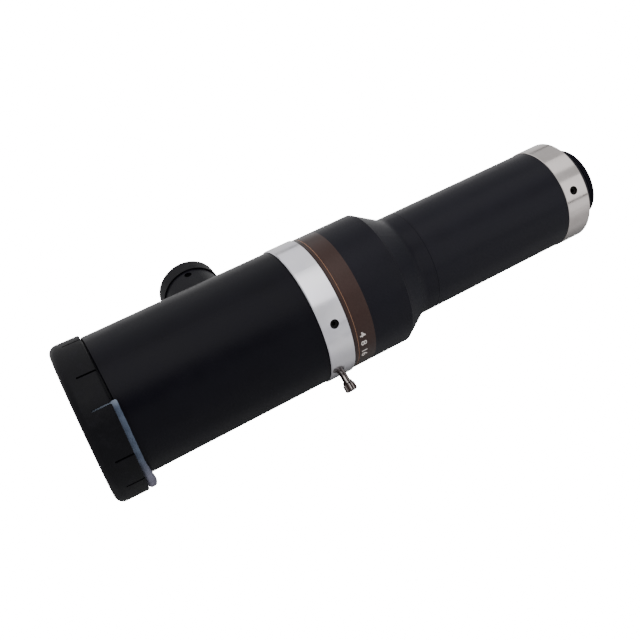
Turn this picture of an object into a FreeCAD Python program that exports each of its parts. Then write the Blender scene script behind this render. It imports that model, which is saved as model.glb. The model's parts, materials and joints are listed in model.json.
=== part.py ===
import FreeCAD, Part
import math
import os

# A telecentric machine vision lens with a side port for coaxial light, lying on its side.
# The optical axis is X. The front looks towards -X, the camera is at +X and Z is up.
# The origin is on the axis at the camera flange, where the camera body seats.
# All sizes are in millimetres. Angles round the axis run from +Z towards -Y.

Vector = FreeCAD.Vector
ORIGIN = Vector(0, 0, 0)
AXIS = Vector(1, 0, 0)

# Clearances
RUNNING = 0.05        # radial and axial play of what turns or slides
SEATED = 0.05         # radial play of what is screwed or pressed home
SOFT_GAP = 0.3        # room left round foam and push-on caps
EDGE_BREAK = 0.3      # chamfer on turned edges

# Camera mount
THREAD_RADIUS = 12.7
THREAD_LENGTH = 4.0
THREAD_CHAMFER = 0.4
SHOULDER_RADIUS = 15.0
SHOULDER_HEIGHT = 2.7
ADAPTER_WALL = 1.9
ADAPTER_SPIGOT_LENGTH = 11.8
CLAMP_GROOVE_DEPTH = 1.4

# Rear clamp ring
CLAMP_RING_PROUD = 0.22
CLAMP_SPIGOT_WALL = 1.6
CLAMP_RING_WIDTH = 9.25
CLAMP_SPIGOT_LENGTH = 5.0
CLAMP_RING_ROUNDING = 0.4
CLAMP_SCREW_ANGLE = 39.1
CLAMP_SCREW_FROM_REAR = 5.4
CLAMP_SCREW_RADIUS = 1.5
CLAMP_SCREW_COUNT = 3

# Rear tube
REAR_TUBE_RADIUS = 17.65
REAR_TUBE_LENGTH = 54.65
REAR_TUBE_WALL = 2.0
REAR_TUBE_FRONT_WALL = 4.25
REAR_SPIGOT_STEP = 2.45
REAR_SPIGOT_LENGTH = 9.4
REAR_CELL_FROM_REAR = 19.05

# Rear lens group
CELL_LENGTH = 19.0
CELL_WALL = 3.1
CELL_LIP = 1.5
CELL_LIP_HEIGHT = 1.2
POSITIVE_EDGE = 3.0
POSITIVE_FRONT_SAG = 2.0
POSITIVE_REAR_SAG = 0.8
NEGATIVE_EDGE = 3.0
NEGATIVE_SAG = 0.8
REAR_SPACER_LENGTH = 4.5
REAR_RETAINER_LENGTH = 2.5
REAR_RING_WALL = 0.95
CELL_LOCK_LENGTH = 2.5
CELL_LOCK_WALL = 2.1

# Stepped housing
NECK_LENGTH = 5.5
CONE_LENGTH = 8.85
CONE_ROOT_ROUNDING = 4.0
HOUSING_LENGTH = 14.0
BAFFLE_SEAT_WIDTH = 1.05
IRIS_SEAT_WIDTH = 0.8
HOUSING_FLOOR = 7.0
BAFFLE_THICKNESS = 1.0
BAFFLE_WIDTH = 5.2

# Name ring and iris ring
NAME_RING_WIDTH = 7.67
LINE_FROM_FRONT = 1.4
LINE_WIDTH = 0.4
LINE_DEPTH = 0.15
IRIS_RING_PROUD = 0.37
IRIS_RING_WIDTH = 9.04
IRIS_SCREW_ANGLE = 47.5
IRIS_SCREW_RADIUS = 1.5
IRIS_SCREW_COUNT = 3
IRIS_RING_TRAVEL = 36.0
SLEEVE_WALL = 1.95
SLEEVE_ENGAGEMENT = 5.8

# Lock screw on the iris ring
LOCK_SCREW_FROM_SET_SCREW = 60.0
LOCK_SCREW_SETBACK = 0.3
LOCK_SHANK_RADIUS = 1.3
LOCK_COLLAR_RADIUS = 1.7
LOCK_COLLAR_LENGTH = 0.8
LOCK_HEAD_RADIUS = 2.05
LOCK_HEAD_LENGTH = 2.7
LOCK_SHANK_SHOWING = 2.8
LOCK_FLUTES = 14
LOCK_FLUTE_RADIUS = 0.24

# Iris
BLADE_COUNT = 8
BLADE_THICKNESS = 0.1
BLADE_SLOPE = 0.12
BLADE_PIN_INSET = 2.6
BLADE_WIDTH = 7.1
BLADE_EDGE_INSET = 1.6
BLADE_SPAN = 105.0
BLADE_TIP_CUT = 24.0
BLADE_TRAVEL = 22.0
BLADE_PIN_RADIUS = 0.5
BLADE_PIN_PLAY = 0.05
BLADE_SLOT_PLAY = 0.18
BASE_THICKNESS = 1.6
BASE_RIM_WALL = 0.95
BASE_BORE_INSET = 0.1
BLADE_ROOM = 3.4
DRIVE_WEB = 1.2
DRIVE_RIM_LENGTH = 3.4
DRIVE_RIM_WALL = 1.45
DRIVE_WEB_SETBACK = 0.7
DOG_POINT_RADIUS = 0.85
DOG_HOLE_DEPTH = 1.15
IRIS_KEEPER_LENGTH = 1.9
IRIS_KEEPER_WIDTH = 2.05

# Front barrel
BARREL_RADIUS = 23.25
BARREL_LENGTH = 72.85
BARREL_WALL = 3.25
LIP_STEP = 1.1
LIP_LENGTH = 9.1
FILTER_THREAD_WALL = 1.05
FILTER_THREAD_LENGTH = 4.5
LENS_SEAT_WIDTH = 0.5
LENS_POCKET_LENGTH = 13.0

# Front lens group
FLINT_EDGE = 3.0
CROWN_EDGE = 4.0
CROWN_FRONT_SAG = 3.2
CEMENTED_SAG = 2.2
FLINT_REAR_SAG = 0.8
FRONT_RETAINER_WALL = 1.2
FRONT_RETAINER_LENGTH = 2.4
SPACER_WALL = 1.75

# Beam splitter
SPLITTER_OVERLAP = 1.0
SPLITTER_THICKNESS = 1.1
SPLITTER_FRAME_WALL = 7.45
SPLITTER_FRAME_LENGTH = 32.42

# Light port
PORT_ANGLE = -110.5
PORT_TUBE_RADIUS = 10.2
PORT_SPIGOT_STEP = 1.4
PORT_REACH = 17.85
PORT_BORE = 7.0
PORT_BORE_LENGTH = 16.5
PORT_POCKET_WALL = 2.1
PORT_SPIGOT_PROUD = 1.4
PORT_LEDGE = 1.9
PORT_LEDGE_WIDTH = 1.1
CONDENSER_EDGE = 2.0
CONDENSER_SAG = 1.4
CONDENSER_DISH = 0.4
PORT_RETAINER_WALL = 0.55
PORT_SCREW_FROM_END = 7.3
PORT_SCREW_RADIUS = 1.3

# Caps
CAP_WALL = 1.25
CAP_PLAY = 2.5
CAP_DEPTH = 10.2
CAP_FLOOR = 1.1
CAP_CORNER = 2.85
CAP_TIGHT_SIDE = 0.8
CAP_SHIFT_ANGLE = 115.0
CAP_TILT = 1.3
CAP_STAND_OFF = 0.77
CAP_SLIT_LENGTH = 5.8
CAP_SLIT_WIDTH = 0.6
CAP_TAB_COUNT = 6
CAP_TAB_WIDTH = 24.0
CAP_TAB_ANGLE = 11.8
STRIP_FIRST_ANGLE = 24.0
STRIP_TURN = 182.0
STRIP_THICKNESS = 0.9
STRIP_GLUE_LINE = 0.1
STRIP_PROUD = 1.4
STRIP_START = 1.5
PORT_CAP_WALL = 0.45
PORT_CAP_DEPTH = 5.9
PORT_CAP_FLOOR = 0.9
PORT_CAP_CORNER = 0.9

# Small screws
SOCKET_WIDTH = 1.3
SOCKET_DEPTH = 1.2
SCREW_RECESS = 0.9

# Radii that follow from the ones above
adapter_bore = THREAD_RADIUS - ADAPTER_WALL
clamp_ring_radius = REAR_TUBE_RADIUS + CLAMP_RING_PROUD
rear_tube_bore = REAR_TUBE_RADIUS - REAR_TUBE_WALL
rear_tube_front_bore = REAR_TUBE_RADIUS - REAR_TUBE_FRONT_WALL
rear_spigot_radius = REAR_TUBE_RADIUS - REAR_SPIGOT_STEP
clamp_ring_bore = rear_tube_bore - SEATED - CLAMP_SPIGOT_WALL
adapter_spigot_radius = clamp_ring_bore - RUNNING
cell_pocket = rear_tube_bore - SEATED - CELL_WALL
cell_lip_radius = cell_pocket - CELL_LIP_HEIGHT
rear_clear_radius = cell_pocket - SEATED - REAR_RING_WALL
cell_lock_bore = rear_tube_bore - SEATED - CELL_LOCK_WALL
housing_radius = BARREL_RADIUS
baffle_seat_bore = rear_spigot_radius + SEATED - BAFFLE_SEAT_WIDTH
baffle_bore = rear_spigot_radius - BAFFLE_WIDTH
barrel_bore = BARREL_RADIUS - BARREL_WALL
lip_radius = BARREL_RADIUS - LIP_STEP
filter_thread_radius = lip_radius - FILTER_THREAD_WALL
lens_pocket_radius = barrel_bore + LENS_SEAT_WIDTH
front_retainer_bore = lens_pocket_radius - SEATED - FRONT_RETAINER_WALL
front_clear_radius = front_retainer_bore - SEATED
spacer_bore = barrel_bore - SEATED - SPACER_WALL
iris_ring_radius = BARREL_RADIUS + IRIS_RING_PROUD
sleeve_radius = barrel_bore - SEATED
sleeve_bore = sleeve_radius - SLEEVE_WALL
housing_bore = sleeve_bore - IRIS_SEAT_WIDTH
blade_pin_circle = sleeve_bore - BLADE_PIN_INSET
blade_outer_radius = sleeve_bore - BLADE_EDGE_INSET
blade_inner_radius = blade_outer_radius - BLADE_WIDTH
base_rim_radius = sleeve_bore - SEATED - BASE_RIM_WALL
base_bore = blade_inner_radius - BASE_BORE_INSET
drive_rim_radius = sleeve_bore - RUNNING - DRIVE_RIM_WALL
drive_bore = blade_inner_radius + DRIVE_WEB_SETBACK
dog_hole_floor = sleeve_bore - RUNNING - DOG_HOLE_DEPTH
iris_keeper_bore = sleeve_bore - SEATED - IRIS_KEEPER_WIDTH
splitter_frame_bore = barrel_bore - SEATED - SPLITTER_FRAME_WALL
splitter_width = 2 * (splitter_frame_bore + SPLITTER_OVERLAP)
splitter_length = splitter_width * math.sqrt(2)
port_spigot_radius = PORT_TUBE_RADIUS - PORT_SPIGOT_STEP
port_pocket_radius = port_spigot_radius - PORT_POCKET_WALL
port_ledge_radius = port_pocket_radius - PORT_LEDGE_WIDTH
port_retainer_bore = port_pocket_radius - SEATED - PORT_RETAINER_WALL
condenser_clear_radius = port_retainer_bore - SEATED
port_spigot_start = barrel_bore - PORT_SPIGOT_PROUD
port_end = BARREL_RADIUS + PORT_REACH
port_cap_bore = PORT_TUBE_RADIUS + RUNNING
port_cap_radius = port_cap_bore + PORT_CAP_WALL
cap_bore = lip_radius + CAP_PLAY
cap_radius = cap_bore + CAP_WALL
cap_shift = CAP_PLAY - CAP_TIGHT_SIDE

# Stations along the axis, worked out from the camera flange towards the front
thread_end = THREAD_LENGTH
clamp_ring_rear = -SHOULDER_HEIGHT
clamp_ring_front = clamp_ring_rear - CLAMP_RING_WIDTH
rear_tube_front = clamp_ring_front - REAR_TUBE_LENGTH
rear_spigot_front = rear_tube_front - REAR_SPIGOT_LENGTH
cone_rear = rear_tube_front - NECK_LENGTH
cone_front = cone_rear - CONE_LENGTH
housing_front = cone_front - HOUSING_LENGTH
name_ring_front = housing_front - NAME_RING_WIDTH
iris_ring_front = name_ring_front - IRIS_RING_WIDTH
iris_station = (name_ring_front + iris_ring_front) / 2
lock_station = iris_station + LOCK_SCREW_SETBACK
sleeve_front = iris_ring_front - SLEEVE_ENGAGEMENT
barrel_front = iris_ring_front - BARREL_LENGTH
lip_shoulder = barrel_front + LIP_LENGTH
pocket_front = barrel_front + FILTER_THREAD_LENGTH
lens_seat = pocket_front + LENS_POCKET_LENGTH
flint_front = lens_seat - FLINT_EDGE
crown_front = flint_front - CROWN_EDGE
splitter_station = sleeve_front - SPLITTER_FRAME_LENGTH / 2
drive_rear = iris_station + DRIVE_RIM_LENGTH / 2
drive_front = iris_station - DRIVE_RIM_LENGTH / 2
base_front = drive_rear + BLADE_ROOM
iris_seat = base_front + BASE_THICKNESS
blade_station = drive_rear + BLADE_ROOM / 2
cap_front = barrel_front - CAP_STAND_OFF - CAP_FLOOR
cap_rim = cap_front + CAP_DEPTH
lock_screw_angle = IRIS_SCREW_ANGLE + LOCK_SCREW_FROM_SET_SCREW


def radial(angle):
    """The unit direction square to the axis at an angle from +Z towards -Y."""
    return Vector(0, -math.sin(math.radians(angle)), math.cos(math.radians(angle)))


def place(x, angle, radius):
    """The point at a station, an angle and a distance from the axis."""
    return Vector(x, 0, 0) + radial(angle) * radius


def turned(*steps):
    """Turns a closed outline of (x, radius) steps about the axis.

    A step of two points is an arc through the first to the second.
    """
    corners = [step if not isinstance(step[0], tuple) else step[1] for step in steps]
    edges = []
    for index, step in enumerate(steps):
        start = Vector(corners[index - 1][0], 0, corners[index - 1][1])
        end = Vector(corners[index][0], 0, corners[index][1])
        if isinstance(step[0], tuple):
            through = Vector(step[0][0], 0, step[0][1])
            edges.append(Part.Arc(start, through, end).toShape())
        else:
            edges.append(Part.LineSegment(start, end).toShape())
    return Part.Face(Part.Wire(edges)).revolve(ORIGIN, AXIS, 360)


def ring(front, rear, outer, inner, outer_break=0.0, inner_break=0.0):
    """A plain turned ring between two stations, with its edges broken."""
    return turned(
        (front, inner + inner_break), (front, outer - outer_break), (front + outer_break, outer),
        (rear - outer_break, outer), (rear, outer - outer_break), (rear, inner + inner_break),
        (rear - inner_break, inner), (front + inner_break, inner),
    ) if outer_break and inner_break else ring_with_sharp_bore(front, rear, outer, inner, outer_break)


def ring_with_sharp_bore(front, rear, outer, inner, outer_break):
    if not outer_break:
        return turned((front, inner), (front, outer), (rear, outer), (rear, inner))
    return turned(
        (front, inner), (front, outer - outer_break), (front + outer_break, outer),
        (rear - outer_break, outer), (rear, outer - outer_break), (rear, inner),
    )


def rod(start, direction, length, radius):
    """A round bar or drill."""
    return Part.makeCylinder(radius, length, start, direction)


def socket(mouth, outward, width, depth):
    """The hexagonal drive of a set screw, cut inwards from its end."""
    corners = Part.makePolygon([
        Vector(width / math.sqrt(3) * math.cos(math.radians(60 * k)),
               width / math.sqrt(3) * math.sin(math.radians(60 * k)), 0) for k in range(7)
    ])
    hexagon = Part.Face(corners).extrude(Vector(0, 0, -depth))
    hexagon.Placement = FreeCAD.Placement(mouth, FreeCAD.Rotation(Vector(0, 0, 1), outward))
    return hexagon


def sag_at_half(clear, sag):
    """How far a lens face stands above its rim plane, half way out to its clear radius."""
    curve = (clear ** 2 + sag ** 2) / (2 * sag)
    return sag - curve + math.copysign(math.sqrt(curve ** 2 - (clear / 2) ** 2), curve)


def lens(front, rear, edge, front_clear, front_sag, rear_clear, rear_sag):
    """A round lens between two rim planes. A sag above zero bulges out, below zero dishes in."""
    front_half = (front - sag_at_half(front_clear, front_sag), front_clear / 2)
    rear_half = (rear + sag_at_half(rear_clear, rear_sag), rear_clear / 2)
    return turned(
        (front - front_sag, 0), (front_half, (front, front_clear)), (front, edge),
        (rear, edge), (rear, rear_clear), (rear_half, (rear + rear_sag, 0)),
    )


def front_barrel():
    """The main barrel: a narrow lip for the cap, a filter thread, the lens pocket and the bore."""
    body = turned(
        (barrel_front, filter_thread_radius), (barrel_front, lip_radius - EDGE_BREAK),
        (barrel_front + EDGE_BREAK, lip_radius), (lip_shoulder, lip_radius),
        (lip_shoulder, BARREL_RADIUS - EDGE_BREAK), (lip_shoulder + EDGE_BREAK, BARREL_RADIUS),
        (iris_ring_front - EDGE_BREAK, BARREL_RADIUS),
        (iris_ring_front, BARREL_RADIUS - EDGE_BREAK), (iris_ring_front, barrel_bore),
        (lens_seat, barrel_bore), (lens_seat, lens_pocket_radius),
        (pocket_front, lens_pocket_radius), (pocket_front, filter_thread_radius),
    )
    hole = rod(Vector(splitter_station, 0, 0), radial(PORT_ANGLE), BARREL_RADIUS * 2,
               port_spigot_radius + SEATED)
    return body.cut(hole)


def front_crown_lens():
    return lens(crown_front, flint_front, lens_pocket_radius - SEATED, front_clear_radius,
                CROWN_FRONT_SAG, front_clear_radius, CEMENTED_SAG)


def front_flint_lens():
    return lens(flint_front, lens_seat, lens_pocket_radius - SEATED, front_clear_radius,
                -CEMENTED_SAG, spacer_bore, FLINT_REAR_SAG)


def spanner_ring(front, rear, outer, inner):
    """A retaining ring with two spanner slots in its outer face, at the front."""
    body = ring(front, rear, outer, inner)
    slot = Part.makeBox(1.0, outer * 2.2, 1.5, Vector(front, -outer * 1.1, -0.75))
    return body.cut(slot)


def front_retainer_ring():
    return spanner_ring(crown_front - FRONT_RETAINER_LENGTH, crown_front,
                        lens_pocket_radius - SEATED, front_retainer_bore)


def front_spacer_tube():
    """Stands between the front lens and the splitter frame, inside the long bore."""
    frame_front = splitter_station - SPLITTER_FRAME_LENGTH / 2
    return ring(lens_seat, frame_front, barrel_bore - SEATED, spacer_bore)


def tilted_slab(length, width, thickness, beyond=0.0):
    """A slab at 45 degrees between the axis and the light port, centred on the axis."""
    slab = Part.makeBox(length + beyond, width, thickness,
                        Vector(-length / 2, -width / 2, -thickness / 2))
    outward = radial(PORT_ANGLE)
    along = (AXIS + outward).normalize()
    normal = (outward - AXIS).normalize()
    across = normal.cross(along)
    turn = FreeCAD.Rotation(along, across, normal, "XYZ")
    slab.Placement = FreeCAD.Placement(Vector(splitter_station, 0, 0), turn)
    return slab


def splitter_frame():
    """Carries the splitter plate in a slanted slot and lets the port's light in at its side."""
    half = SPLITTER_FRAME_LENGTH / 2
    body = ring(splitter_station - half, splitter_station + half, barrel_bore - SEATED,
                splitter_frame_bore)
    window = rod(Vector(splitter_station, 0, 0), radial(PORT_ANGLE), barrel_bore * 1.2,
                 port_spigot_radius + SOFT_GAP)
    slot = tilted_slab(splitter_length + 2 * SEATED, splitter_width + 2 * SEATED,
                       SPLITTER_THICKNESS + 2 * SEATED, barrel_bore)
    return body.cut(window).cut(slot)


def beam_splitter_plate():
    return tilted_slab(splitter_length, splitter_width, SPLITTER_THICKNESS)


def along_port(shape):
    """Puts a piece made about the axis from the origin on the light port's own axis."""
    shape = shape.copy()
    turn = FreeCAD.Rotation(AXIS, radial(PORT_ANGLE))
    shape.Placement = FreeCAD.Placement(Vector(splitter_station, 0, 0), turn)
    return shape


def light_port_tube():
    """The side tube: a threaded root, a saddle that fits the barrel and the light source's bore."""
    pocket_start = port_spigot_start + PORT_LEDGE
    bore_start = port_end - PORT_BORE_LENGTH
    body = along_port(turned(
        (barrel_bore / 2, port_ledge_radius), (barrel_bore / 2, PORT_TUBE_RADIUS),
        (port_end - EDGE_BREAK, PORT_TUBE_RADIUS), (port_end, PORT_TUBE_RADIUS - EDGE_BREAK),
        (port_end, PORT_BORE), (bore_start, PORT_BORE), (bore_start, port_pocket_radius),
        (pocket_start, port_pocket_radius), (pocket_start, port_ledge_radius),
    ))
    saddle = rod(Vector(splitter_station - BARREL_RADIUS, 0, 0), AXIS, 2 * BARREL_RADIUS,
                 BARREL_RADIUS)
    root = along_port(ring(port_spigot_start, BARREL_RADIUS, port_spigot_radius, port_ledge_radius))
    pocket = along_port(rod(Vector(pocket_start, 0, 0), AXIS, BARREL_RADIUS, port_pocket_radius))
    return body.cut(saddle).fuse(root.cut(pocket)).cut(port_screw_hole()).removeSplitter()


def port_screw_direction():
    """The port's set screw enters the tube from above."""
    return radial(PORT_ANGLE + 90)


def port_screw_foot():
    """The point on the port's axis below its set screw."""
    return place(splitter_station, PORT_ANGLE, port_end - PORT_SCREW_FROM_END)


def port_screw_hole():
    return rod(port_screw_foot(), port_screw_direction(), PORT_TUBE_RADIUS * 1.2, PORT_SCREW_RADIUS)


def port_set_screw():
    outward = port_screw_direction()
    top = PORT_TUBE_RADIUS - SCREW_RECESS
    foot = PORT_BORE + RUNNING
    body = rod(port_screw_foot() + outward * foot, outward, top - foot, PORT_SCREW_RADIUS - SEATED / 2)
    return body.cut(socket(port_screw_foot() + outward * top, outward, SOCKET_WIDTH, SOCKET_DEPTH))


def port_condenser_lens():
    seat = port_spigot_start + PORT_LEDGE
    return along_port(lens(seat, seat + CONDENSER_EDGE, port_pocket_radius - SEATED,
                           port_ledge_radius, -CONDENSER_DISH, condenser_clear_radius,
                           CONDENSER_SAG))


def port_retainer_ring():
    start = port_spigot_start + PORT_LEDGE + CONDENSER_EDGE
    return along_port(ring(start, port_end - PORT_BORE_LENGTH, port_pocket_radius - SEATED,
                           port_retainer_bore))


def port_cap():
    """A moulded push-on cap over the end of the light port."""
    end = port_end + PORT_CAP_FLOOR + RUNNING
    rim = end - PORT_CAP_DEPTH
    bend = PORT_CAP_CORNER * (1 - math.sqrt(0.5))
    return along_port(turned(
        (rim, port_cap_bore), (rim, port_cap_radius),
        (end - PORT_CAP_CORNER, port_cap_radius),
        ((end - bend, port_cap_radius - bend), (end, port_cap_radius - PORT_CAP_CORNER)),
        (end, 0), (end - PORT_CAP_FLOOR, 0), (end - PORT_CAP_FLOOR, port_cap_bore),
    ))


def stepped_housing():
    """The housing: a sleeve for the rings, a cylinder, a cone with a rounded root and a neck."""
    slope = math.atan2(housing_radius - REAR_TUBE_RADIUS, CONE_LENGTH)
    tangent = CONE_ROOT_ROUNDING * math.tan(slope / 2)
    on_cone = (cone_rear - tangent * math.cos(slope), REAR_TUBE_RADIUS + tangent * math.sin(slope))
    bend = CONE_ROOT_ROUNDING * (1 / math.cos(slope / 2) - 1)
    through = (cone_rear + bend * math.sin(slope / 2), REAR_TUBE_RADIUS + bend * math.cos(slope / 2))
    baffle_seat = rear_spigot_front - BAFFLE_THICKNESS
    body = turned(
        (sleeve_front, sleeve_bore), (sleeve_front, sleeve_radius - EDGE_BREAK),
        (sleeve_front + EDGE_BREAK, sleeve_radius), (housing_front, sleeve_radius),
        (housing_front, housing_radius), (cone_front, housing_radius), on_cone,
        (through, (cone_rear + tangent, REAR_TUBE_RADIUS)), (rear_tube_front, REAR_TUBE_RADIUS),
        (rear_tube_front, rear_spigot_radius + SEATED), (baffle_seat, rear_spigot_radius + SEATED),
        (baffle_seat, baffle_seat_bore), (baffle_seat - HOUSING_FLOOR, housing_bore),
        (iris_seat, housing_bore), (iris_seat, sleeve_bore),
    )
    for k in range(IRIS_SCREW_COUNT):
        body = body.cut(dog_point_slot(IRIS_SCREW_ANGLE + k * 360 / IRIS_SCREW_COUNT))
    return body


def dog_point_slot(rest_angle):
    """The slot in the sleeve that a set screw's dog point travels along."""
    half = DOG_POINT_RADIUS + SOFT_GAP
    depth = sleeve_radius - sleeve_bore + 2
    shut_angle = rest_angle - IRIS_RING_TRAVEL
    section = Part.Face(Part.makePolygon([
        place(iris_station - half, shut_angle, sleeve_bore - 1),
        place(iris_station + half, shut_angle, sleeve_bore - 1),
        place(iris_station + half, shut_angle, sleeve_bore - 1 + depth),
        place(iris_station - half, shut_angle, sleeve_bore - 1 + depth),
        place(iris_station - half, shut_angle, sleeve_bore - 1),
    ]))
    run = section.revolve(ORIGIN, AXIS, IRIS_RING_TRAVEL)
    ends = [rod(place(iris_station, a, sleeve_bore - 1), radial(a), depth, half)
            for a in (rest_angle, shut_angle)]
    return run.fuse(ends)


def name_ring():
    """A brown ring with one bright line cut round it near its front edge."""
    line = name_ring_front + LINE_FROM_FRONT
    return turned(
        (name_ring_front, sleeve_radius + SEATED), (name_ring_front, housing_radius - EDGE_BREAK / 2),
        (name_ring_front + EDGE_BREAK / 2, housing_radius),
        (line - LINE_WIDTH / 2, housing_radius), (line, housing_radius - LINE_DEPTH),
        (line + LINE_WIDTH / 2, housing_radius), (housing_front, housing_radius),
        (housing_front, sleeve_radius + SEATED),
    )


def iris_ring():
    """The bright ring that is turned by hand to open and close the iris."""
    body = ring(iris_ring_front + RUNNING, name_ring_front - RUNNING, iris_ring_radius,
                sleeve_radius + RUNNING, EDGE_BREAK)
    for k in range(IRIS_SCREW_COUNT):
        angle = IRIS_SCREW_ANGLE + k * 360 / IRIS_SCREW_COUNT
        body = body.cut(rod(place(iris_station, angle, barrel_bore / 2), radial(angle),
                            iris_ring_radius, IRIS_SCREW_RADIUS))
    return body.cut(rod(place(lock_station, lock_screw_angle, barrel_bore / 2),
                        radial(lock_screw_angle), iris_ring_radius, LOCK_SHANK_RADIUS + RUNNING))


def iris_ring_set_screws():
    """Three set screws whose dog points reach through the sleeve into the drive ring."""
    screws = []
    for k in range(IRIS_SCREW_COUNT):
        angle = IRIS_SCREW_ANGLE + k * 360 / IRIS_SCREW_COUNT
        outward = radial(angle)
        top = iris_ring_radius - SCREW_RECESS
        body_foot = sleeve_radius + 2 * RUNNING
        point_foot = dog_hole_floor + RUNNING
        thread = rod(place(iris_station, angle, body_foot), outward, top - body_foot,
                     IRIS_SCREW_RADIUS - SEATED / 2)
        point = rod(place(iris_station, angle, point_foot), outward, body_foot - point_foot,
                    DOG_POINT_RADIUS)
        drive = socket(place(iris_station, angle, top), outward, SOCKET_WIDTH, SOCKET_DEPTH)
        screws.append(thread.fuse(point).removeSplitter().cut(drive))
    return Part.makeCompound(screws)


def lock_screw():
    """The knurled thumb screw that locks the iris ring against the sleeve."""
    outward = radial(lock_screw_angle)
    tip = sleeve_radius + RUNNING / 2
    collar = iris_ring_radius + LOCK_SHANK_SHOWING
    head = collar + LOCK_COLLAR_LENGTH
    end = head + LOCK_HEAD_LENGTH
    body = turned(
        (tip, 0), (tip, LOCK_SHANK_RADIUS - EDGE_BREAK), (tip + EDGE_BREAK, LOCK_SHANK_RADIUS),
        (collar, LOCK_SHANK_RADIUS), (collar, LOCK_COLLAR_RADIUS), (head, LOCK_COLLAR_RADIUS),
        (head, LOCK_HEAD_RADIUS - EDGE_BREAK), (head + EDGE_BREAK, LOCK_HEAD_RADIUS),
        (end - EDGE_BREAK, LOCK_HEAD_RADIUS), (end, LOCK_HEAD_RADIUS - EDGE_BREAK), (end, 0),
    )
    for k in range(LOCK_FLUTES):
        turn = math.radians(360 * k / LOCK_FLUTES)
        foot = Vector(head - 1, LOCK_HEAD_RADIUS * math.cos(turn), LOCK_HEAD_RADIUS * math.sin(turn))
        body = body.cut(rod(foot, AXIS, LOCK_HEAD_LENGTH + 2, LOCK_FLUTE_RADIUS))
    body.Placement = FreeCAD.Placement(Vector(lock_station, 0, 0), FreeCAD.Rotation(AXIS, outward))
    return body


def blade_frame(index):
    """A blade's pivot point, its plane's normal towards the camera and its pivot angle.

    Each blade lies in its own plane, tipped so that its pivot end is behind its neighbours
    and its driven end is in front of them, as leaves of a real iris lie.
    """
    pivot_angle = index * 360 / BLADE_COUNT
    uphill = radial(pivot_angle - BLADE_SPAN / 2 + 90)
    normal = (AXIS - uphill * BLADE_SLOPE).normalize()
    height = BLADE_SLOPE * blade_pin_circle * math.sin(math.radians(BLADE_SPAN / 2))
    pivot = place(blade_station + height, pivot_angle, blade_pin_circle)
    return pivot, normal, pivot_angle


def on_blade_plane(index, angle, radius):
    """The point of a blade's middle plane at an angle and a distance from the axis."""
    pivot, normal, _ = blade_frame(index)
    flat = place(0, angle, radius)
    return flat + AXIS * ((pivot - flat).dot(normal) / normal.x)


def iris_blade(index):
    """A thin crescent leaf with a pivot pin behind it and a drive pin in front of it."""
    pivot, normal, start = blade_frame(index)
    finish = start - BLADE_SPAN
    end_reach = math.degrees((blade_outer_radius - blade_pin_circle) / blade_pin_circle)

    def at(angle, radius):
        return on_blade_plane(index, angle, radius)

    first = start + end_reach
    last = finish - end_reach
    inner_last = finish + BLADE_TIP_CUT
    low = blade_pin_circle - (blade_outer_radius - blade_pin_circle)
    edges = [
        arc_edge(at, first, last, blade_outer_radius),
        Part.LineSegment(at(last, blade_outer_radius), at(last, low)).toShape(),
        Part.LineSegment(at(last, low), at(inner_last, blade_inner_radius)).toShape(),
        arc_edge(at, inner_last, start - end_reach, blade_inner_radius),
        Part.LineSegment(at(start - end_reach, blade_inner_radius), at(first, low)).toShape(),
        Part.LineSegment(at(first, low), at(first, blade_outer_radius)).toShape(),
    ]
    leaf = Part.Face(Part.Wire(edges))
    leaf.translate(normal * (-BLADE_THICKNESS / 2))
    leaf = leaf.extrude(normal * BLADE_THICKNESS)
    rear_reach = (base_front + BASE_THICKNESS * 0.8 - pivot.x) / normal.x
    drive = at(finish, blade_pin_circle)
    front_reach = (drive.x - (drive_rear - DRIVE_WEB * 0.9)) / normal.x
    pins = [rod(pivot, normal, rear_reach, BLADE_PIN_RADIUS),
            rod(drive, normal * -1, front_reach, BLADE_PIN_RADIUS)]
    return leaf.fuse(pins).removeSplitter()


def arc_edge(at, first, last, radius):
    """An edge of a leaf that follows a circle about the axis, through five points."""
    curve = Part.BSplineCurve()
    curve.interpolate([at(first + (last - first) * k / 8, radius) for k in range(9)])
    return curve.toShape()


def drive_pin_in_ring(closing):
    """Where blade 0's drive pin crosses the drive ring's web, seen from the turning ring.

    closing runs from 0 with the iris open to 1 with it shut.
    """
    pivot, normal, start = blade_frame(0)
    pin = on_blade_plane(0, start - BLADE_SPAN, blade_pin_circle)
    turned_pin = FreeCAD.Rotation(normal * -1, BLADE_TRAVEL * closing).multVec(pin - pivot) + pivot
    web_middle = drive_rear - DRIVE_WEB / 2
    crossing = turned_pin + normal * ((web_middle - turned_pin.x) / normal.x)
    return FreeCAD.Rotation(AXIS, IRIS_RING_TRAVEL * closing).multVec(crossing)


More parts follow.
